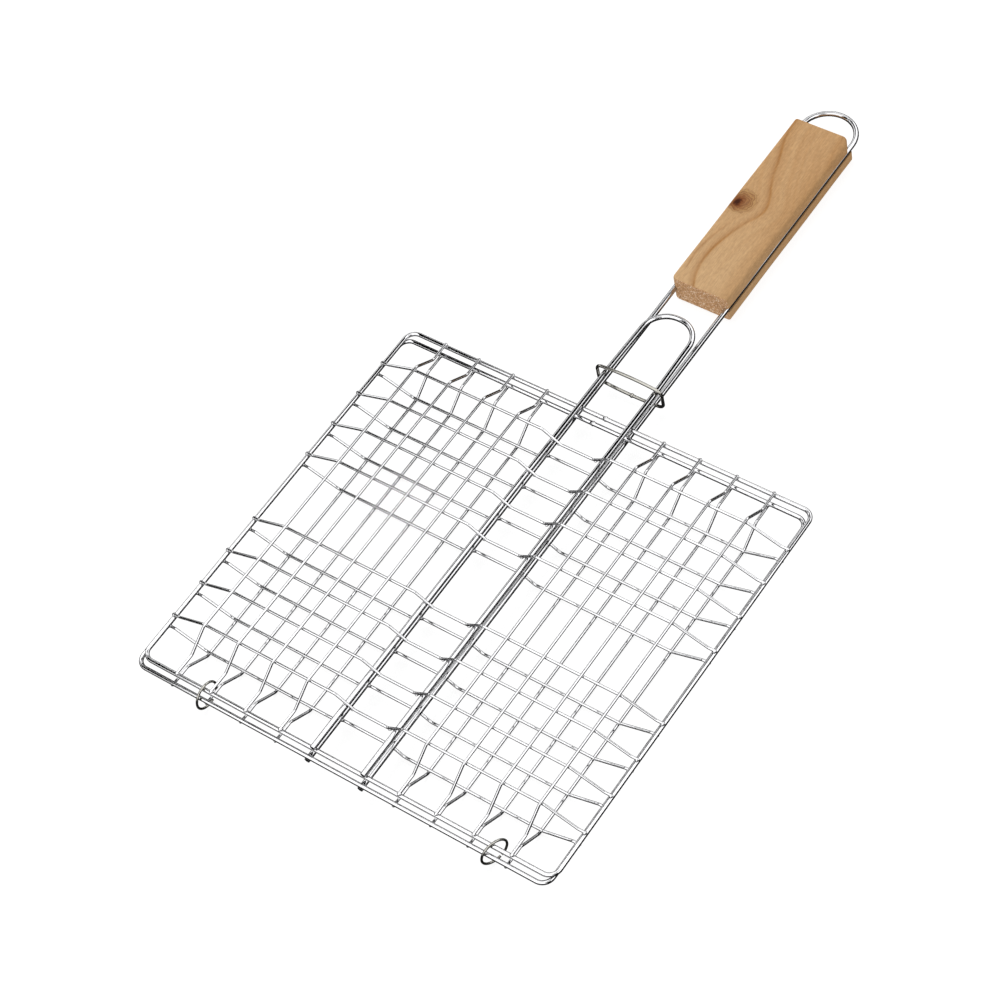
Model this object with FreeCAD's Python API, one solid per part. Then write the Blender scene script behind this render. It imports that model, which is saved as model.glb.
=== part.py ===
import FreeCAD, Part
import math
import os

# Hinged wire grill basket: two welded wire grids that close on the food like a book. Loose rings
# hinge them along the near edge, a sliding ring locks their handle wires together, and the lower
# grid's handle wire carries a wooden grip and ends in a hanging loop.
#
# Row frame, in millimetres: +X across the basket, +Y from the basket to the grip, +Z up. The
# origin is the middle of the bounding box, at the level that the basket stands on.

V = FreeCAD.Vector

# ---------------------------------------------------------------- driving dimensions
# basket outline, measured to the centre of the frame wire
basket_width = 251.6
basket_depth = 235.2
frame_corner_radius = 6.0

# wire gauges, as diameters
frame_wire = 2.4
mesh_wire = 1.5
handle_wire = 3.0
lock_wire = 1.8
hinge_wire = 1.3

# long wires run along the handle, cross wires run across it
wires_per_side = 4
long_edge_gap = 23.4
long_pitch = 22.0
cross_far_gap = 25.9
cross_pitch = 22.6
cross_near_gap = 27.0
wire_overhang = 0.3

# the dish that is pressed into each grid
dish_height = 7.05
long_rim_share = 0.45
cross_rim_share = 0.15
mesh_bend_radius = 3.0

# the channel that the cross wires make between the two handle legs
upper_channel_level = 2.0
lower_channel_level = 4.2
channel_slope = 34.0

# handle wires
upper_leg_spacing = 30.8
lower_leg_spacing = 32.6
short_loop_reach = 72.0
short_loop_toe_in = 1.2
short_loop_taper = 34.0
loop_corner_share = 0.97
leg_overhang = 1.0

# how the closed grids lie on each other inside the loose rings
frame_clearance = 0.3
grid_slip_x = 1.6
grid_slip_y = 4.0

# wooden grip
grip_length = 128.5
grip_thickness = 17.0
grip_from_short_loop = 20.5
grip_bevel = 1.8
grip_corner = 3.0
groove_clearance = 0.02
loop_stand_off = 2.5

# lock ring, a bowed rectangle of wire round all four legs
lock_left_clearance = 0.8
lock_right_clearance = 1.5
lock_bar_clearance = 0.45
lock_lean = 7.45
lock_corner_ease = 1.4
lock_place = 24.8
lock_bead = 2.6

# hinge rings
hinge_ring_radius = 7.5
hinge_ring_play = 0.2
hinge_ring_gap = 0.9
hinge_left_from_wire = 5.0
hinge_right_from_wire = 10.6
hinge_right_turn = -18.0
hinge_gap_angle = 292.0

# ---------------------------------------------------------------- worked-out places
# heights in an upper grid whose frame wire is centred on z = 0
frame_r = frame_wire / 2
mesh_r = mesh_wire / 2
handle_r = handle_wire / 2
on_frame = frame_r + mesh_r
leg_z = frame_r + handle_r
cross_z = on_frame + dish_height
long_z = cross_z + mesh_wire

half_width = basket_width / 2
half_depth = basket_depth / 2
upper_leg_x = upper_leg_spacing / 2
lower_leg_x = lower_leg_spacing / 2


def mirrored(offsets, middle):
    """The offsets counted in from one edge, and again from the other, about a middle line."""
    return [middle - o for o in offsets] + [middle + o for o in reversed(offsets)]


long_x = mirrored([half_width - long_edge_gap - i * long_pitch for i in range(wires_per_side)], 0.0)
cross_y = [half_depth - cross_far_gap - i * cross_pitch for i in range(wires_per_side)]
cross_y += [-half_depth + cross_near_gap + i * cross_pitch for i in reversed(range(wires_per_side))]

# the whole object in the frame of the upper grid, and the shift that puts the origin in place
frame_drop = frame_wire + frame_clearance
grip_y = half_depth + short_loop_reach + handle_r + grip_from_short_loop
loop_y = grip_y + grip_length + loop_stand_off
hinge_reach = hinge_ring_radius + hinge_wire / 2
tip_y = loop_y + lower_leg_x + handle_r
hinge_y = -half_depth
shift = V(grid_slip_x / 2, -(tip_y + hinge_y - hinge_reach) / 2, frame_drop + long_z + mesh_r)
lower_shift = V(-grid_slip_x / 2, shift.y - grid_slip_y, shift.z - frame_drop)

# the lock ring goes round the legs of both grids, and its corners round the wire with some ease
lock_r = lock_wire / 2
lock_left = min(-grid_slip_x / 2 - lower_leg_x, grid_slip_x / 2 - upper_leg_x)
lock_right = max(-grid_slip_x / 2 + lower_leg_x, grid_slip_x / 2 + upper_leg_x)
lock_left -= handle_r + lock_left_clearance + lock_r
lock_right += handle_r + lock_right_clearance + lock_r
lock_side_x = (lock_right - lock_left) / 2
lock_corner = handle_r + lock_r + lock_corner_ease
lock_bar_height = frame_drop / 2 + leg_z + handle_r + lock_bar_clearance + lock_r


# ---------------------------------------------------------------- wire forming
def bent_path(points, radius, closed=False):
    """Straight runs through the points, joined by tangent arcs of one radius, or one for each."""
    count = len(points)
    radii = radius if isinstance(radius, list) else [radius] * count
    corners = range(count) if closed else range(1, count - 1)
    trims = {}
    for i in corners:
        here = points[i]
        back = (points[i - 1] - here).normalize()
        ahead = (points[(i + 1) % count] - here).normalize()
        half_turn = back.getAngle(ahead) / 2
        reach = radii[i] / math.tan(half_turn)
        middle = (back + ahead).normalize()
        centre = here + middle * (radii[i] / math.sin(half_turn))
        trims[i] = (here + back * reach, centre - middle * radii[i], here + ahead * reach)
    edges = []
    for i in range(count if closed else count - 1):
        after = (i + 1) % count
        start = trims[i][2] if i in trims else points[i]
        end = trims[after][0] if after in trims else points[after]
        edges.append(Part.LineSegment(start, end).toShape())
        if after in trims:
            edges.append(Part.Arc(*trims[after]).toShape())
    return Part.Wire(edges)


def drawn_wire(path, diameter):
    """A round wire of one diameter that follows a path."""
    first = path.Edges[0]
    start = first.valueAt(first.FirstParameter)
    direction = first.tangentAt(first.FirstParameter)
    profile = Part.Wire(Part.Circle(start, direction, diameter / 2).toShape())
    solid = path.makePipeShell([profile], True, False)
    if solid.Volume < 0:
        solid.reverse()
    return solid


def rounded_loop(half_x, half_y, radius):
    """A flat rectangle of wire path with rounded corners, closed in the middle of a side."""
    points = [V(half_x, half_y, 0), V(-half_x, half_y, 0), V(-half_x, -half_y, 0), V(half_x, -half_y, 0)]
    return bent_path(points, radius, closed=True)


# ---------------------------------------------------------------- pieces of an upper grid
def frame_piece():
    """The rectangular outer wire, butt-welded into a closed loop."""
    return drawn_wire(rounded_loop(half_width, half_depth, frame_corner_radius), frame_wire)


def dish_profile(half_span, near_gap, far_gap, rim_share, level):
    """Points along a wire that lies on the rim, climbs within its first bay and stays level."""
    end = half_span + wire_overhang
    rim = V(0, 0, on_frame)
    top = V(0, 0, level)
    near_foot = -half_span + near_gap * rim_share
    far_foot = half_span - far_gap * rim_share
    along = V(0, 1, 0)
    climb = mesh_bend_radius / 2
    return [
        along * -end + rim,
        along * near_foot + rim,
        along * (-half_span + near_gap - climb) + top,
        along * (half_span - far_gap + climb) + top,
        along * far_foot + rim,
        along * end + rim,
    ]


def long_piece(x):
    """One long wire, over the cross wires in the dish and on top of the frame at both ends."""
    profile = dish_profile(half_depth, cross_near_gap, cross_far_gap, long_rim_share, long_z)
    points = [p + V(x, 0, 0) for p in profile]
    return drawn_wire(bent_path(points, mesh_bend_radius), mesh_wire)


def cross_piece(y, leg_x, channel_level):
    """One cross wire, which dips over both handle legs into the channel between them."""
    profile = dish_profile(half_width, long_edge_gap, long_edge_gap, cross_rim_share, cross_z)
    outer = [V(p.y, y, p.z) for p in profile]
    slope = math.radians(channel_slope)
    reach = handle_r + mesh_r
    touch_x = leg_x - reach * math.sin(slope)
    touch_z = leg_z + reach * math.cos(slope)
    shoulder = touch_x + (cross_z - touch_z) / math.tan(slope)
    foot = touch_x - (touch_z - channel_level) / math.tan(slope)
    channel = [
        V(-shoulder, y, cross_z),
        V(-foot, y, channel_level),
        V(foot, y, channel_level),
        V(shoulder, y, cross_z),
    ]
    return drawn_wire(bent_path(outer[:3] + channel + outer[3:], mesh_bend_radius), mesh_wire)


def short_handle_piece():
    """The upper grid's handle wire: two legs on the frame, which toe in to a rounded end."""
    near_y = -half_depth - leg_overhang
    end_y = half_depth + short_loop_reach
    end_x = upper_leg_x - short_loop_toe_in
    corner = end_x * loop_corner_share
    taper_y = end_y - end_x - short_loop_taper
    half = [V(upper_leg_x, near_y, leg_z), V(upper_leg_x, taper_y, leg_z), V(end_x, end_y, leg_z)]
    points = [V(-p.x, p.y, p.z) for p in half] + half[::-1]
    radii = [0, short_loop_taper, corner, corner, short_loop_taper, 0]
    return drawn_wire(bent_path(points, radii), handle_wire)


def long_handle_piece():
    """The lower grid's handle wire: two straight legs, joined by a half-round hanging loop."""
    near_y = -half_depth - leg_overhang
    bend_y = loop_y + grid_slip_y
    left = Part.LineSegment(V(-lower_leg_x, near_y, leg_z), V(-lower_leg_x, bend_y, leg_z))
    arc = Part.Arc(left.EndPoint, V(0, bend_y + lower_leg_x, leg_z), V(lower_leg_x, bend_y, leg_z))
    right = Part.LineSegment(arc.EndPoint, V(lower_leg_x, near_y, leg_z))
    return drawn_wire(Part.Wire([left.toShape(), arc.toShape(), right.toShape()]), handle_wire)


def grid_pieces(side, leg_x, channel_level):
    """The frame and mesh wires of one grid, by node name, as they are in an upper grid."""
    pieces = {side + "_frame": frame_piece()}
    for number, x in enumerate(long_x, 1):
        pieces[f"{side}_long_wire_{number}"] = long_piece(x)
    for number, y in enumerate(cross_y, 1):
        pieces[f"{side}_cross_wire_{number}"] = cross_piece(y, leg_x, channel_level)
    return pieces


# ---------------------------------------------------------------- grip and rings
def grip_piece():
    """The wooden grip, bevelled all round, with the handle wire flush in a groove in each side."""
    half_grip = lower_leg_x + handle_r
    corner = V(-half_grip, grip_y, -grip_thickness / 2)
    block = Part.makeBox(2 * half_grip, grip_length, grip_thickness, corner)
    upright = [e for e in block.Edges if abs(e.tangentAt(0).z) > 0.9]
    block = block.makeFillet(grip_corner, upright)
    rims = [e for e in block.Edges if abs(e.BoundBox.ZMax - e.BoundBox.ZMin) < 0.01]
    block = block.makeChamfer(grip_bevel, rims)
    groove_r = handle_r + groove_clearance
    for sign in (-1, 1):
        start = V(sign * lower_leg_x, grip_y - 1, 0)
        bore = Part.makeCylinder(groove_r, grip_length + 2, start, V(0, 1, 0))
        slot_x = lower_leg_x if sign > 0 else -lower_leg_x - half_grip
        slot = Part.makeBox(half_grip, grip_length + 2, 2 * groove_r, V(slot_x, grip_y - 1, -groove_r))
        block = block.cut(bore).cut(slot)
    return block


def lock_ring_piece():
    """The sliding lock ring: one bowed rectangle of wire whose ends meet in a welded bead."""
    lean = math.radians(lock_lean)
    corner_x = lock_side_x - lock_corner
    corner_z = lock_bar_height - lock_corner * math.cos(lean)
    bar = corner_x + lock_corner * math.sin(lean)
    bow_top = lock_bar_height + bar * math.tan(lean / 2)
    half_lean = (math.pi / 2 - lean) / 2
    mid_x = corner_x + lock_corner * math.cos(half_lean)
    mid_z = corner_z + lock_corner * math.sin(half_lean)
    edges = []
    for sign in (1, -1):
        bar_start = V(-sign * bar, 0, sign * lock_bar_height)
        bar_end = V(sign * bar, 0, sign * lock_bar_height)
        side_start = V(sign * lock_side_x, 0, sign * corner_z)
        side_end = V(sign * lock_side_x, 0, -sign * corner_z)
        next_start = V(sign * bar, 0, -sign * lock_bar_height)
        edges.append(Part.Arc(bar_start, V(0, 0, sign * bow_top), bar_end).toShape())
        edges.append(Part.Arc(bar_end, V(sign * mid_x, 0, sign * mid_z), side_start).toShape())
        edges.append(Part.LineSegment(side_start, side_end).toShape())
        edges.append(Part.Arc(side_end, V(sign * mid_x, 0, -sign * mid_z), next_start).toShape())
    ring = drawn_wire(Part.Wire(edges), lock_wire)
    bead = Part.makeSphere(lock_bead / 2, V(0, 0, -bow_top), V(1, 0, 0))
    return ring.fuse(bead)


def hinge_ring_piece():
    """An open ring of thin wire in the YZ plane, hung from the origin, its ends almost meeting."""
    centre = V(0, 0, -(hinge_ring_radius - hinge_wire / 2 - frame_r - hinge_ring_play))
    half_gap = math.degrees(hinge_ring_gap / 2 / hinge_ring_radius)
    circle = Part.Circle(centre, V(1, 0, 0), hinge_ring_radius)
    zero = (circle.value(0) - centre).normalize()
    offset = math.degrees(math.atan2(zero.z, zero.y))
    start = math.radians(hinge_gap_angle - offset + half_gap)
    end = math.radians(hinge_gap_angle - offset - half_gap) + 2 * math.pi
    return drawn_wire(Part.Wire(circle.toShape(start, end)), hinge_wire)


# ---------------------------------------------------------------- assembly
nodes = {}
upper = grid_pieces("upper", upper_leg_x, upper_channel_level)
upper["upper_handle_wire"] = short_handle_piece()
for name, shape in upper.items():
    shape.translate(shift)
    nodes[name] = shape

lower = grid_pieces("lower", lower_leg_x, lower_channel_level)
lower["lower_handle_wire"] = long_handle_piece()
for name, shape in lower.items():
    turned = shape.mirror(V(0, 0, 0), V(0, 0, 1))
    turned.translate(lower_shift)
    nodes[name] = turned

grip = grip_piece()
grip.translate(V(lower_shift.x, shift.y, lower_shift.z - leg_z))
nodes["wooden_grip"] = grip

lock_ring = lock_ring_piece()
lock_centre_x = (lock_left + lock_right) / 2
lock_ring.translate(V(lock_centre_x, shift.y + half_depth + lock_place, shift.z - frame_drop / 2))
nodes["lock_ring"] = lock_ring

left_ring = hinge_ring_piece()
left_ring.translate(V(shift.x + long_x[1] - hinge_left_from_wire, shift.y + hinge_y, shift.z))
nodes["hinge_ring_left"] = left_ring

right_ring = hinge_ring_piece()
right_ring.rotate(V(0, 0, 0), V(0, 0, 1), hinge_right_turn)
right_ring.translate(V(shift.x + long_x[-2] + hinge_right_from_wire, shift.y + hinge_y, shift.z))
nodes["hinge_ring_right"] = right_ring

os.makedirs("parts", exist_ok=True)
for name, shape in nodes.items():
    shape.exportStep(f"parts/{name}.step")
    print(f"{name}: volume {shape.Volume:.1f} mm3, valid {shape.isValid()}, solids {len(shape.Solids)}")

box = Part.makeCompound(list(nodes.values())).optimalBoundingBox()
print(f"box X {box.XMin:.2f} {box.XMax:.2f}  Y {box.YMin:.2f} {box.YMax:.2f}  Z {box.ZMin:.2f} {box.ZMax:.2f}")
print(f"upper grid shift {shift}, lower grid shift {lower_shift}")
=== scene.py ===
"""Hinged wire grill basket: two welded wire grids, a wooden grip on the long handle wire, a sliding
lock ring and two loose hinge rings. Metres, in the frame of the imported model."""
import math

import bmesh
import bpy
import numpy as np
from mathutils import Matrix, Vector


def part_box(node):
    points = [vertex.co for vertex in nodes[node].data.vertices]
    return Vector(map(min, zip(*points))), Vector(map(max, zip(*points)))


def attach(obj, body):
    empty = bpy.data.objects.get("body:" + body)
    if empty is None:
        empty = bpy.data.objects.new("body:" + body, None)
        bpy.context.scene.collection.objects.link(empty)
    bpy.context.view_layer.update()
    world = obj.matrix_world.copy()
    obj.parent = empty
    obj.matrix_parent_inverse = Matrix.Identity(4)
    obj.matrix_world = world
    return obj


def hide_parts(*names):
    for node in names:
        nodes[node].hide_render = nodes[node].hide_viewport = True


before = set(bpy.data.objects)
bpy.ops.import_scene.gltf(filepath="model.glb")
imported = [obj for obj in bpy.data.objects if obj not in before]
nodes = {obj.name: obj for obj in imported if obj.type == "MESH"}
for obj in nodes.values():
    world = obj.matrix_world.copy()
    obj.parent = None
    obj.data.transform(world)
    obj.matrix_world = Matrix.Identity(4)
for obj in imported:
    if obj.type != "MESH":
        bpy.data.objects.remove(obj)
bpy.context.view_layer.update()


# ------------------------------------------------------------------ frame wires
# The two rectangular outer wires: drawn steel of the middle gauge, bent round four corners, butt
# welded in the middle of the far side and then bright chrome plated with the whole grid.
def plated_wire(name, tint, roughness, wear):
    """Bright plate on drawn wire. Roughness and a faint bump follow three-dimensional noise:
    wide, soft patches where the polish has dulled, and fine specks left by the drawing die.
    Wear is what the dullest patches add to the roughness."""
    patch_scale, speck_scale = 55.0, 1400.0
    thin_plate = [channel * 0.86 for channel in tint]
    material = bpy.data.materials.new(name)
    material.use_nodes = True
    tree = material.node_tree
    shader = tree.nodes["Principled BSDF"]
    shader.inputs["Metallic"].default_value = 1.0
    place = tree.nodes.new("ShaderNodeTexCoord")
    patches = tree.nodes.new("ShaderNodeTexNoise")
    patches.inputs["Scale"].default_value = patch_scale
    patches.inputs["Detail"].default_value = 3.0
    tree.links.new(place.outputs["Object"], patches.inputs["Vector"])
    dulling = tree.nodes.new("ShaderNodeMapRange")
    dulling.inputs["From Min"].default_value = 0.35
    dulling.inputs["From Max"].default_value = 0.75
    dulling.inputs["To Min"].default_value = roughness
    dulling.inputs["To Max"].default_value = roughness + wear
    tree.links.new(patches.outputs["Fac"], dulling.inputs["Value"])
    tree.links.new(dulling.outputs["Result"], shader.inputs["Roughness"])
    plate = tree.nodes.new("ShaderNodeValToRGB")
    plate.color_ramp.elements[0].position = 0.3
    plate.color_ramp.elements[0].color = (*thin_plate, 1)
    plate.color_ramp.elements[1].position = 0.62
    plate.color_ramp.elements[1].color = (*tint, 1)
    tree.links.new(patches.outputs["Fac"], plate.inputs["Fac"])
    tree.links.new(plate.outputs["Color"], shader.inputs["Base Color"])
    specks = tree.nodes.new("ShaderNodeTexNoise")
    specks.inputs["Scale"].default_value = speck_scale
    specks.inputs["Detail"].default_value = 2.0
    tree.links.new(place.outputs["Object"], specks.inputs["Vector"])
    bump = tree.nodes.new("ShaderNodeBump")
    bump.inputs["Strength"].default_value = 0.02
    bump.inputs["Distance"].default_value = 0.0002
    tree.links.new(specks.outputs["Fac"], bump.inputs["Height"])
    tree.links.new(bump.outputs["Normal"], shader.inputs["Normal"])
    return material


def add_piece(name, corners, faces, material, body):
    """A new mesh object from an array of corners and one of four-cornered faces, on a CAD body.
    Corners in one place are merged, which closes the poles, and faces are turned outwards."""
    same_place = 1e-7
    mesh = bpy.data.meshes.new(name)
    mesh.from_pydata(corners.reshape(-1, 3), [], faces.tolist())
    shell = bmesh.new()
    shell.from_mesh(mesh)
    bmesh.ops.remove_doubles(shell, verts=shell.verts, dist=same_place)
    bmesh.ops.recalc_face_normals(shell, faces=shell.faces)
    shell.to_mesh(mesh)
    shell.free()
    mesh.shade_smooth()
    mesh.materials.append(material)
    piece = bpy.data.objects.new(name, mesh)
    bpy.context.scene.collection.objects.link(piece)
    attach(piece, body)
    return piece


def grid_faces(rows, columns):
    """Quads between neighbouring rows of a grid of corners whose columns close into a ring."""
    row, column = np.meshgrid(np.arange(rows - 1), np.arange(columns), indexing="ij")
    after = (column + 1) % columns
    ring = [row * columns + column, row * columns + after,
            (row + 1) * columns + after, (row + 1) * columns + column]
    return np.stack(ring, -1).reshape(-1, 4)


frame_plate = plated_wire("frame_plate", (0.64, 0.64, 0.65), roughness=0.02, wear=0.05)
for side in ("upper", "lower"):
    nodes[side + "_frame"].data.materials[0] = frame_plate

frame_half = (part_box("upper_frame")[1].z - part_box("upper_frame")[0].z) / 2
butt_weld_x = {"upper": 0.0012, "lower": -0.0046}
weld_reach = 0.0026
swell_height, swell_width = 0.00012, 0.0011
flash_height, flash_width = 0.00020, 0.00028
# how far the weld's ends lie under the surface of the wire
under_skin = 0.00002
for side in ("upper", "lower"):
    # radius over the wire: a low swelling, with a thin ridge of flash that was ground off unevenly
    low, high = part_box(side + "_frame")
    along = np.linspace(-weld_reach, weld_reach, 27)[:, None]
    around = np.linspace(0, 2 * np.pi, 32, endpoint=False)[None, :]
    uneven = 1 + 0.4 * np.sin(3 * around + 1.1)
    swell = swell_height * np.exp(-(along / swell_width) ** 2)
    flash = flash_height * np.exp(-(along / flash_width) ** 2) * uneven
    radius = frame_half - under_skin + swell + flash
    middle_z = (low.z + high.z) / 2
    corners = np.stack([butt_weld_x[side] + along + 0 * around,
                        high.y - frame_half + radius * np.cos(around),
                        middle_z + radius * np.sin(around)], -1)
    # the two end rings close on the wire's own centre line
    hub = corners.mean(1, keepdims=True).repeat(corners.shape[1], 1)
    corners = np.concatenate([hub[:1], corners, hub[-1:]])
    add_piece(side + "_frame_butt_weld", corners, grid_faces(*corners.shape[:2]), frame_plate,
              side + "_grid")


# ------------------------------------------------------------------ mesh wires
# Sixteen thin wires in each grid, crimped into a dish. Every crossing is resistance welded: the
# wires sink a little into each other, and each wire's end is pressed to a round head on the frame.
mesh_plate = plated_wire("mesh_plate", (0.62, 0.62, 0.63), roughness=0.02, wear=0.05)
for name, node in nodes.items():
    if "_long_wire_" in name or "_cross_wire_" in name:
        node.data.materials[0] = mesh_plate


def weld_beads(points, width, height, seed):
    """Pressed beads, one round each point: a sphere flattened to width and height, whose waist
    swells in four low lobes along the two wires. Each is turned and sized a little differently."""
    rows, columns = 8, 12
    rng = np.random.default_rng(seed)
    points = np.asarray(points)[:, None, None, :]
    count = len(points)
    rise = np.linspace(-np.pi / 2, np.pi / 2, rows)[None, :, None]
    turn = np.linspace(0, 2 * np.pi, columns, endpoint=False)[None, None, :]
    size = rng.uniform(0.92, 1.08, (count, 1, 1))
    skew = rng.uniform(-0.2, 0.2, (count, 1, 1))
    waist = size * width / 2 * np.cos(rise) * (1 + 0.06 * np.cos(4 * (turn + skew)))
    corners = np.stack([waist * np.cos(turn), waist * np.sin(turn),
                        size * height / 2 * np.sin(rise) + 0 * turn], -1) + points
    faces = grid_faces(rows, columns)[None] + np.arange(count)[:, None, None] * rows * columns
    return corners, faces.reshape(-1, 4)


wire_half = (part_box("upper_long_wire_1")[1].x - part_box("upper_long_wire_1")[0].x) / 2
wire_numbers = range(1, 9)
bead_width, bead_height = 0.0019, 0.0010
head_width, head_height = 0.0023, 0.0018
# how far the middle of a pressed head stands out from the face of the frame
head_rise = wire_half * 0.7
for side in ("upper", "lower"):
    long_boxes = [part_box(f"{side}_long_wire_{i}") for i in wire_numbers]
    cross_boxes = [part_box(f"{side}_cross_wire_{i}") for i in wire_numbers]
    frame_low, frame_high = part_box(side + "_frame")
    long_x = [(low.x + high.x) / 2 for low, high in long_boxes]
    cross_y = [(low.y + high.y) / 2 for low, high in cross_boxes]
    outward = 1 if side == "upper" else -1
    contact_z = cross_boxes[0][1].z if side == "upper" else cross_boxes[0][0].z
    crossings = [(x, y, contact_z) for x in long_x for y in cross_y]
    corners, faces = weld_beads(crossings, bead_width, bead_height, seed=11)
    add_piece(side + "_mesh_welds", corners, faces, mesh_plate, side + "_grid")
    rim_z = (frame_high.z if side == "upper" else frame_low.z) + outward * head_rise
    rim_x = (frame_low.x + frame_half, frame_high.x - frame_half)
    rim_y = (frame_low.y + frame_half, frame_high.y - frame_half)
    heads = [(x, y, rim_z) for x in long_x for y in rim_y]
    heads += [(x, y, rim_z) for y in cross_y for x in rim_x]
    corners, faces = weld_beads(heads, head_width, head_height, seed=12)
    add_piece(side + "_rim_welds", corners, faces, mesh_plate, side + "_grid")


# ------------------------------------------------------------------ handle wires
# The thick wires: a short rounded loop on the upper grid, and on the lower grid two long legs that
# run through the grip to the hanging loop. Their legs are welded to the frame and every cross wire.
handle_plate = plated_wire("handle_plate", (0.57, 0.57, 0.58), roughness=0.03, wear=0.05)
for side in ("upper", "lower"):
    nodes[side + "_handle_wire"].data.materials[0] = handle_plate

handle_half = (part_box("lower_handle_wire")[1].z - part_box("lower_handle_wire")[0].z) / 2
leg_weld_width, leg_weld_height = 0.0021, 0.0012
for side in ("upper", "lower"):
    low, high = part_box(side + "_handle_wire")
    frame_low, frame_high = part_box(side + "_frame")
    leg_z = (low.z + high.z) / 2
    face_z = frame_high.z if side == "upper" else frame_low.z
    seats = []
    for leg_x in (low.x + handle_half, high.x - handle_half):
        seats += [(leg_x, y, face_z) for y in (frame_low.y + frame_half, frame_high.y - frame_half)]
        for i in wire_numbers:
            # the weld is where the cross wire comes nearest to the middle line of the leg
            wire = nodes[f"{side}_cross_wire_{i}"].data
            place = np.empty(len(wire.vertices) * 3)
            wire.vertices.foreach_get("co", place)
            place = place.reshape(-1, 3)
            nearest = np.hypot(place[:, 0] - leg_x, place[:, 2] - leg_z).argmin()
            seats.append((place[nearest, 0], place[:, 1].mean(), place[nearest, 2]))
    corners, faces = weld_beads(seats, leg_weld_width, leg_weld_height, seed=13)
    add_piece(side + "_leg_welds", corners, faces, handle_plate, side + "_grid")


# ------------------------------------------------------------------ wooden grip
# One block of pine, sawn and sanded, pressed between the legs of the long handle wire, which lie in
# a kerf in each side. Its edges are eased by hand, the ends are left rough, and it has one knot.
grip_low, grip_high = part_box("wooden_grip")
grip_centre = (grip_low + grip_high) / 2
grip_half = (grip_high - grip_low) / 2
kerf_gap = 0.00002
kerf_half = handle_half + kerf_gap
kerf_x = grip_half.x - handle_half
ease_top, ease_low = 0.0020, 0.0014
# the quarter circle by which each face draws in at the near end and at the far end
end_radii = {"left": (0.0036, 0.0009), "right": (0.0008, 0.0010),
             "top": (0.0009, 0.0008), "bottom": (0.0012, 0.0012)}
# the top's far right corner is worn: how deep at the end, and how fast that is lost along the block
worn_depth, worn_slope = 0.0030, 0.62
# the length at each end over which the sections crowd together
crowded = 0.0075


def eased(distance, radius):
    """How far a rounded corner has drawn in at a distance from the end: a quarter circle."""
    left = np.clip(radius - distance, 0, radius)
    return radius - np.sqrt(radius ** 2 - left ** 2)


def grip_surface():
    """The grip as a section carried along its length. The section is a rectangle with eased edges
    and a kerf in each side. Its half-width and half-height draw in at the ends by quarter circles,
    more at the corners that are worn, and rings that shrink to the middle close both ends."""
    length = 2 * grip_half.y
    ends = crowded * (1 - np.cos(np.linspace(0, np.pi / 2, 18)))
    stretch = np.linspace(ends[-1], length - ends[-1], 50)[1:-1]
    y = np.concatenate([ends, stretch, length - ends[::-1]])[:, None]
    far = length - y

    def drawn_in(half, face):
        """A half-width or half-height along the block, less what both ends take from it."""
        near_radius, far_radius = end_radii[face]
        return half - eased(y, near_radius) - eased(far, far_radius)

    left = drawn_in(grip_half.x, "left")
    right_low = drawn_in(grip_half.x, "right")
    right_top = right_low - np.clip(worn_depth - far * worn_slope, 0, 1)
    top = drawn_in(grip_half.z, "top")
    bottom = drawn_in(grip_half.z, "bottom")
    mouth = kerf_half * grip_half.x / kerf_x
    steps = np.linspace(0, 1, 7)
    across = np.linspace(0, 1, 26)[1:-1]
    turn = np.linspace(0, np.pi / 2, 7)
    back = turn[::-1]
    down, up = np.linspace(np.pi / 2, -np.pi / 2, 11), np.linspace(-np.pi / 2, np.pi / 2, 11)
    runs = (
        # from the mouth of the right kerf, over the top, to the left kerf
        (right_top, mouth + (top - ease_top - mouth) * steps),
        (right_top - ease_top * (1 - np.cos(turn[1:])), top - ease_top * (1 - np.sin(turn[1:]))),
        ((right_top - ease_top) * (1 - across) + (ease_top - left) * across, top),
        (ease_top * (1 - np.cos(back)) - left, top - ease_top * (1 - np.sin(back))),
        (-left, top - ease_top + (mouth - top + ease_top) * steps[1:]),
        # through the left kerf, and back under the block to the right one
        (np.maximum(kerf_half * np.cos(down) - kerf_x, -left), kerf_half * np.sin(down)),
        (-left, -mouth - (bottom - ease_low - mouth) * steps),
        (ease_low * (1 - np.cos(turn[1:])) - left, ease_low * (1 - np.sin(turn[1:])) - bottom),
        ((ease_low - left) * (1 - across) + (right_low - ease_low) * across, -bottom),
        (right_low - ease_low * (1 - np.cos(back)), ease_low * (1 - np.sin(back)) - bottom),
        (right_low, ease_low - bottom + (bottom - ease_low - mouth) * steps[1:]),
        (np.minimum(kerf_x - kerf_half * np.cos(up), np.where(up < 0, right_low, right_top)),
         kerf_half * np.sin(up)))
    section = np.concatenate([np.stack(np.broadcast_arrays(x, z), -1) for x, z in runs], 1)
    body = np.stack([section[..., 0], y - grip_half.y + 0 * section[..., 0], section[..., 1]], -1)
    # sanding leaves the faces very slightly uneven
    body[..., 0] += 0.00006 * np.sin(body[..., 1] * 95 + 0.7) * np.sign(body[..., 0])
    body[..., 2] += 0.00005 * np.sin(body[..., 1] * 70 + body[..., 0] * 160)
    shrink = np.array([1, 1, 1]) * np.linspace(0, 1, 9)[:, None, None]
    shrink[..., 1] = 1
    near_cap = body[:1] * shrink
    far_cap = body[-1:] * shrink[::-1]
    return np.concatenate([near_cap[:-1], body, far_cap[1:]]) + np.array(grip_centre)


def grain_value(tree, operation, *inputs):
    """One Math node: each input is a number or another node's output."""
    node = tree.nodes.new("ShaderNodeMath")
    node.operation = operation
    for socket, value in zip(node.inputs, inputs):
        if isinstance(value, (int, float)):
            socket.default_value = value
        else:
            tree.links.new(value, socket)
    return node.outputs[0]


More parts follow.
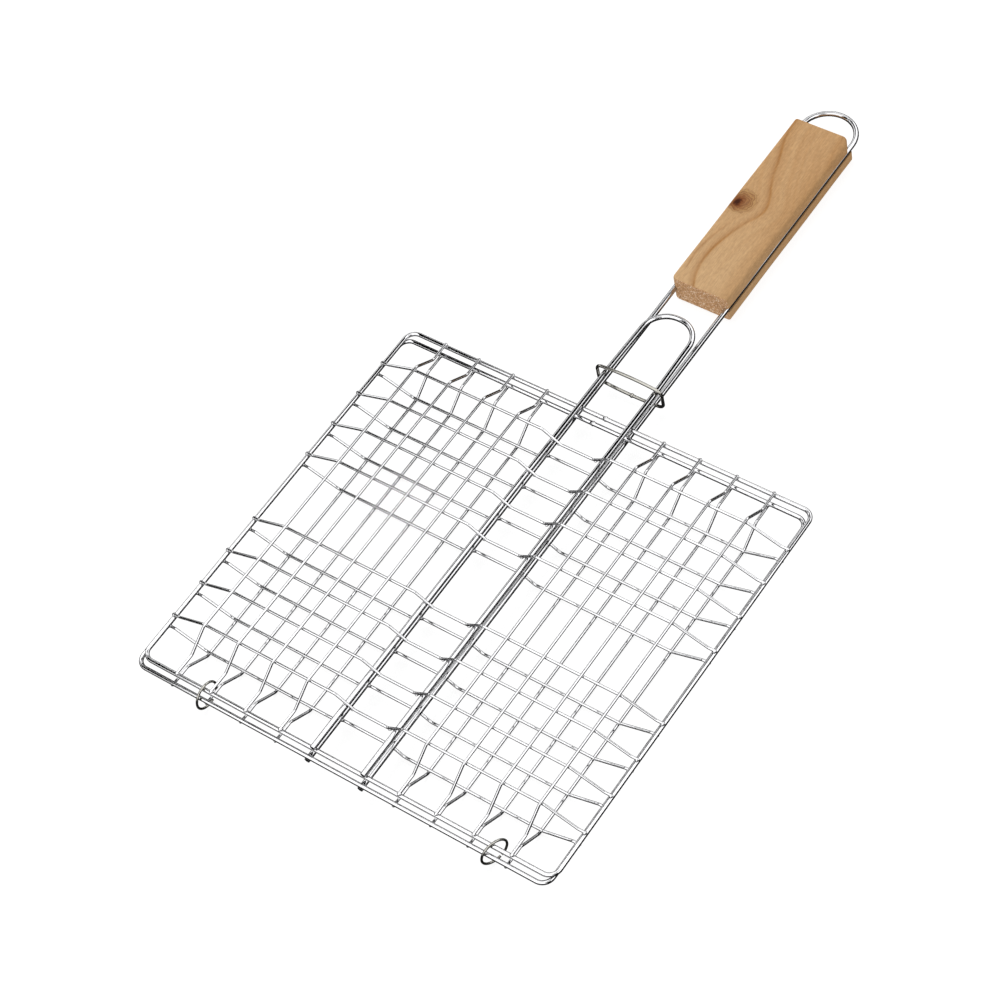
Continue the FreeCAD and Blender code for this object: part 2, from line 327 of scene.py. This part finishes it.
def grain_noise(tree, vector, scale, detail, stretch=(1, 1, 1)):
    """Noise between 0 and 1 on a place in millimetres, stretched along the three axes."""
    mapping = tree.nodes.new("ShaderNodeMapping")
    mapping.inputs["Scale"].default_value = [scale / s for s in stretch]
    tree.links.new(vector, mapping.inputs["Vector"])
    noise = tree.nodes.new("ShaderNodeTexNoise")
    noise.inputs["Scale"].default_value = 1.0
    noise.inputs["Detail"].default_value = detail
    tree.links.new(mapping.outputs["Vector"], noise.inputs["Vector"])
    return noise.outputs["Fac"]


def ramp(tree, factor, *stops):
    """A colour ramp through (position, linear colour) stops."""
    node = tree.nodes.new("ShaderNodeValToRGB")
    marks = node.color_ramp.elements
    while len(marks) < len(stops):
        marks.new(0.5)
    for mark, (position, colour) in zip(marks, stops):
        mark.position = position
        mark.color = (*colour, 1)
    tree.links.new(factor, node.inputs["Fac"])
    return node.outputs["Color"]


def blend_colour(tree, factor, first, second, how="MIX"):
    """Mixes two colours by a factor, which is a number or an output."""
    node = tree.nodes.new("ShaderNodeMix")
    node.data_type = "RGBA"
    node.blend_type = how
    mix_factor, colour_a, colour_b = (node.inputs[i] for i in (0, 6, 7))
    for socket, value in ((mix_factor, factor), (colour_a, first), (colour_b, second)):
        if isinstance(value, (int, float)):
            socket.default_value = value
        elif isinstance(value, tuple):
            socket.default_value = (*value, 1)
        else:
            tree.links.new(value, socket)
    return node.outputs[2]


def smooth_range(tree, value, low, high, start=0.0, end=1.0):
    """A smooth step from start to end while the value goes from low to high."""
    node = tree.nodes.new("ShaderNodeMapRange")
    node.interpolation_type = "SMOOTHSTEP"
    for name, number in (("From Min", low), ("From Max", high),
                         ("To Min", start), ("To Max", end)):
        node.inputs[name].default_value = number
    tree.links.new(value, node.inputs["Value"])
    return node.outputs["Result"]


def pine():
    """Flat-sawn pine. Rings are bands of one value: the distance from the knot's edge of the block,
    less a bow that carries the lines round the knot. Fibres are noise drawn out along the block.
    Lengths are in millimetres from the middle of the block."""
    material = bpy.data.materials.new("sanded_pine")
    material.use_nodes = True
    tree = material.node_tree
    shader = tree.nodes["Principled BSDF"]

    def plus(first, second):
        return grain_value(tree, "ADD", first, second)

    def minus(first, second):
        return grain_value(tree, "SUBTRACT", first, second)

    def times(first, second):
        return grain_value(tree, "MULTIPLY", first, second)

    def over(first, second):
        return grain_value(tree, "DIVIDE", first, second)

    place = tree.nodes.new("ShaderNodeTexCoord")
    centred = tree.nodes.new("ShaderNodeMapping")
    centred.inputs["Location"].default_value = [-c * 1000 for c in grip_centre]
    centred.inputs["Scale"].default_value = (1000, 1000, 1000)
    tree.links.new(place.outputs["Object"], centred.inputs["Vector"])
    point = centred.outputs["Vector"]
    split = tree.nodes.new("ShaderNodeSeparateXYZ")
    tree.links.new(point, split.inputs["Vector"])
    x, y, z = split.outputs

    # distance in from the knot's edge, wandering slowly, and leaning with depth as rings do
    knot_edge, top_face, lean = 16.0, 8.5, 0.6
    wander = times(minus(grain_noise(tree, point, 0.07, 2.0, (1, 3, 1)), 0.5), 2.2)
    inward = plus(plus(plus(x, knot_edge), wander), times(minus(z, top_face), lean))

    # one late-wood line bows round the knot: how far in it lies at each place along the block,
    # both as shares of one length
    bow_length = 130.0
    bow = tree.nodes.new("ShaderNodeFloatCurve")
    path = bow.mapping.curves[0].points
    for along, far_in in ((0.04, 0.080), (0.14, 0.058), (0.26, 0.066), (0.38, 0.102),
                          (0.455, 0.138), (0.49, 0.145), (0.56, 0.125), (0.62, 0.094),
                          (0.74, 0.054), (0.89, 0.008)):
        path.new(along, far_in)
    path[0].location = (0.0, 0.100)
    path[-1].location = (1.0, 0.0)
    bow.mapping.update()
    tree.links.new(plus(over(y, bow_length), 0.5), bow.inputs["Value"])
    ring = minus(inward, times(bow.outputs[0], bow_length))

    def line(middle, width):
        """A soft line along the rings: a bell curve of the distance from its middle."""
        off = over(minus(ring, middle), width)
        return grain_value(tree, "EXPONENT", times(times(off, off), -1.0))

    # bands of early and late wood, paler at the near end, with painted shade that browns the wood
    # along the right edge, the side turned from the key light
    band = tree.nodes.new("ShaderNodeCombineXYZ")
    tree.links.new(ring, band.inputs["X"])
    tree.links.new(times(y, 0.012), band.inputs["Y"])
    bands = grain_noise(tree, band.outputs["Vector"], 0.22, 2.0)
    wood = ramp(tree, bands, (0.28, (0.417, 0.233, 0.101)), (0.45, (0.457, 0.270, 0.125)),
                (0.62, (0.482, 0.295, 0.142)), (0.78, (0.424, 0.239, 0.105)))
    near_end = smooth_range(tree, y, -62.0, 20.0, 0.55, 0.0)
    wood = blend_colour(tree, near_end, wood, (0.550, 0.370, 0.200))
    # painted shade: the wood is drawn browner towards the right edge, where the block turns away
    # from the key light
    painted_shade_right_edge = smooth_range(tree, x, 5.0, 17.0, 0.0, 0.45)
    colour = blend_colour(tree, painted_shade_right_edge, wood, (0.375, 0.200, 0.078))

    # the late-wood line, the redder wood inside it, and a second, fainter line
    fade = grain_noise(tree, point, 0.09, 2.0, (1, 2.5, 1))
    streak = times(line(0.0, 0.85), smooth_range(tree, fade, 0.3, 0.6, 0.25, 0.85))
    colour = blend_colour(tree, streak, colour, (0.330, 0.148, 0.036))
    inside = times(smooth_range(tree, ring, -4.5, -0.6, 0.0, 0.5),
                   smooth_range(tree, ring, -0.6, 0.6, 1.0, 0.0))
    colour = blend_colour(tree, inside, colour, (0.330, 0.160, 0.058))
    second = times(line(-6.2, 0.9), smooth_range(tree, fade, 0.45, 0.65, 0.0, 0.5))
    colour = blend_colour(tree, second, colour, (0.310, 0.145, 0.052))

    # fibres, short resin flecks and the mottling that sanding leaves
    fibre = grain_noise(tree, point, 2.6, 4.0, (1, 22, 1))
    fibre_tone = ramp(tree, fibre, (0.3, (0.30, 0.27, 0.24)), (0.7, (0.66, 0.66, 0.66)))
    colour = blend_colour(tree, 0.30, colour, fibre_tone, "OVERLAY")
    mottle = grain_noise(tree, point, 0.8, 3.0, (1, 2, 1))
    mottle_tone = ramp(tree, mottle, (0.3, (0.36, 0.35, 0.35)), (0.7, (0.64, 0.64, 0.64)))
    colour = blend_colour(tree, 0.30, colour, mottle_tone, "OVERLAY")
    flecks = smooth_range(tree, grain_noise(tree, point, 1.9, 1.0, (1, 5, 1)), 0.70, 0.76)
    colour = blend_colour(tree, times(flecks, 0.35), colour, (0.36, 0.19, 0.08))

    # the knot: a ragged dark heart near its edge, in rings of redder wood
    ragged = times(minus(grain_noise(tree, point, 0.45, 4.0), 0.5), 3.4)

    def away(middle_x, middle_y, squeeze):
        """Ragged distance from a middle, squeezed along the block."""
        off_x = plus(x, -middle_x)
        off_y = times(plus(y, -middle_y), squeeze)
        square = plus(times(off_x, off_x), times(off_y, off_y))
        return plus(grain_value(tree, "SQRT", square), ragged)

    reach = away(-11.8, -1.0, 0.9)
    knot_rings = grain_value(tree, "SINE", times(reach, 4.4))
    knot_wood = ramp(tree, over(reach, 9.0), (0.15, (0.300, 0.130, 0.046)),
                     (0.45, (0.335, 0.160, 0.056)), (0.80, (0.415, 0.238, 0.092)))
    knot_wood = blend_colour(tree, times(plus(knot_rings, 1.0), 0.34), knot_wood,
                             (0.160, 0.062, 0.030))
    colour = blend_colour(tree, smooth_range(tree, reach, 6.0, 9.4, 0.95, 0.0), colour, knot_wood)
    heart = away(-14.0, -2.6, 0.75)
    heart_rim = smooth_range(tree, heart, 1.4, 5.4, 0.85, 0.0)
    colour = blend_colour(tree, heart_rim, colour, (0.150, 0.036, 0.006))
    heart_core = smooth_range(tree, heart, 0.9, 2.6, 1.0, 0.0)
    colour = blend_colour(tree, heart_core, colour, (0.045, 0.010, 0.003))

    # the sawn ends: darker, speckled, torn across the rings
    end_y = grip_half.y * 1000
    at_end = smooth_range(tree, grain_value(tree, "ABSOLUTE", y), end_y - 0.55, end_y - 0.15)
    crumbs = grain_noise(tree, point, 1.5, 5.0)
    rough_end = ramp(tree, crumbs, (0.30, (0.28, 0.125, 0.050)), (0.45, (0.56, 0.310, 0.150)),
                     (0.58, (0.62, 0.360, 0.185)), (0.68, (0.95, 0.80, 0.62)))
    colour = blend_colour(tree, at_end, colour, rough_end)
    tree.links.new(colour, shader.inputs["Base Color"])

    polish = smooth_range(tree, fibre, 0.3, 0.7, 0.52, 0.66)
    tree.links.new(polish, shader.inputs["Roughness"])
    shader.inputs["Specular IOR Level"].default_value = 0.05
    height = plus(times(fibre, 0.5), times(mottle, 0.25))
    height = plus(height, times(times(crumbs, at_end), 5.0))
    bump = tree.nodes.new("ShaderNodeBump")
    bump.inputs["Strength"].default_value = 0.5
    bump.inputs["Distance"].default_value = 0.00025
    tree.links.new(height, bump.inputs["Height"])
    tree.links.new(bump.outputs["Normal"], shader.inputs["Normal"])
    return material


surface = grip_surface()
grip = add_piece("grip_block", surface, grid_faces(*surface.shape[:2]), pine(),
                 "lower_grid")
grip.data.set_sharp_from_angle(angle=math.radians(40))
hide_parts("wooden_grip")


# ------------------------------------------------------------------ lock ring and hinge rings
# Loose rings of thinner wire: the lock ring slides on all four legs, and two open rings hang on the
# near frame wires. Their plate is thinner, a little warmer and duller than the grids'.
ring_plate = plated_wire("ring_plate", (0.36, 0.35, 0.32), roughness=0.08, wear=0.12)
for name in ("lock_ring", "hinge_ring_left", "hinge_ring_right"):
    nodes[name].data.materials[0] = ring_plate


# ------------------------------------------------------------------ studio
# A pale floor under a white tent, with one soft light. Dark cards and a white ceiling round it show
# only in gloss, where they draw the dark lines that make bright wire readable on white.
def flat_card(name, centre, across, up):
    """A rectangle from its centre and two half-sides."""
    centre, across, up = (np.array(v, float) for v in (centre, across, up))
    mesh = bpy.data.meshes.new(name)
    corners = [centre - across - up, centre + across - up,
               centre + across + up, centre - across + up]
    mesh.from_pydata([c.tolist() for c in corners], [], [(0, 1, 2, 3)])
    card = bpy.data.objects.new(name, mesh)
    bpy.context.scene.collection.objects.link(card)
    return card


def plain_finish(name, colour, glow):
    """A matt finish for the studio, with an even glow where it is wanted."""
    material = bpy.data.materials.new(name)
    material.use_nodes = True
    shader = material.node_tree.nodes["Principled BSDF"]
    shader.inputs["Base Color"].default_value = (*colour, 1)
    shader.inputs["Roughness"].default_value = 0.9
    shader.inputs["Specular IOR Level"].default_value = 0.0
    shader.inputs["Emission Color"].default_value = (1, 1, 1, 1)
    shader.inputs["Emission Strength"].default_value = glow
    return material


floor_drop = 0.0002
floor = flat_card("floor", (0, 0, -floor_drop), (6, 0, 0), (0, 6, 0))
floor.data.materials.append(plain_finish("pale_floor", (0.22, 0.22, 0.22), glow=0.86))

black = plain_finish("black_card", (0.004, 0.004, 0.004), glow=0.0)
grey = plain_finish("grey_card", (0.004, 0.004, 0.004), glow=0.02)
white = plain_finish("white_ceiling", (0.8, 0.8, 0.8), glow=1.3)
for name, finish, centre, across, up in (
        ("card_below", grey, (0, 0.1, 0), (1.0, 0, 0), (0, 1.1, 0)),
        ("card_above", black, (0.05, 0.40, 0.80), (0.62, 0.16, 0), (-0.025, 0.10, 0)),
        ("card_left", black, (-1.10, -0.87, 0.80), (0.45, 0.1, 0), (-0.22, -0.72, 0)),
        ("card_right", black, (1.10, -0.10, 0.22), (0, 0.85, 0), (0, 0, 0.22)),
        ("card_far_above", black, (0.02, 0.55, 0.80), (0.28, 0.08, 0), (-0.01, 0.08, 0)),
        ("card_high_left", black, (-0.56, -0.06, 0.80), (0.09, 0, 0), (0, 0.20, 0)),
        ("card_near_right", black, (0.80, -0.62, 0.55), (0.16, 0.22, 0), (0.12, -0.08, -0.26)),
        ("wall_behind", black, (0.3, 1.6, 0.12), (1.3, 0, 0), (0, 0, 0.13)),
        ("wall_left", black, (-1.4, -0.6, 0.25), (0, 0.85, 0), (0, 0, 0.25)),
        ("card_overhead", black, (0.36, -0.15, 1.0), (0.18, 0, 0), (0, 0.24, 0)),
        ("card_far_left", black, (-0.52, 0.50, 0.55), (0.22, 0, 0), (0.08, 0.42, 0)),
        ("ceiling", white, (0, 0, 1.4), (4, 0, 0), (0, 4, 0))):
    card = flat_card(name, centre, across, up)
    card.data.materials.append(finish)
    card.visible_camera = False
    card.visible_diffuse = False
    card.visible_shadow = False

tent = bpy.data.worlds.new("tent")
tent.use_nodes = True
tent.node_tree.nodes["Background"].inputs["Color"].default_value = (1, 1, 1, 1)
tent.node_tree.nodes["Background"].inputs["Strength"].default_value = 0.72
bpy.context.scene.world = tent

key = bpy.data.objects.new("key_softbox", bpy.data.lights.new("key_softbox", "AREA"))
key.data.shape = "RECTANGLE"
key.data.size = 1.6
key.data.size_y = 1.2
key.data.energy = 22.0
key.location = (-0.9, 0.5, 1.7)
key.rotation_euler = (-0.25, -0.47, 0.0)
bpy.context.scene.collection.objects.link(key)

camera = bpy.data.objects.new("camera", bpy.data.cameras.new("camera"))
camera.location = (0.60391, -0.65596, 1.16609)
camera.rotation_euler = [math.radians(angle) for angle in (35.676, 8.818, 34.616)]
camera.data.lens = 101.16
camera.data.sensor_width = 36.0
camera.data.clip_start = 0.05
bpy.context.scene.collection.objects.link(camera)
bpy.context.scene.camera = camera
bpy.context.scene.view_settings.view_transform = "Standard"
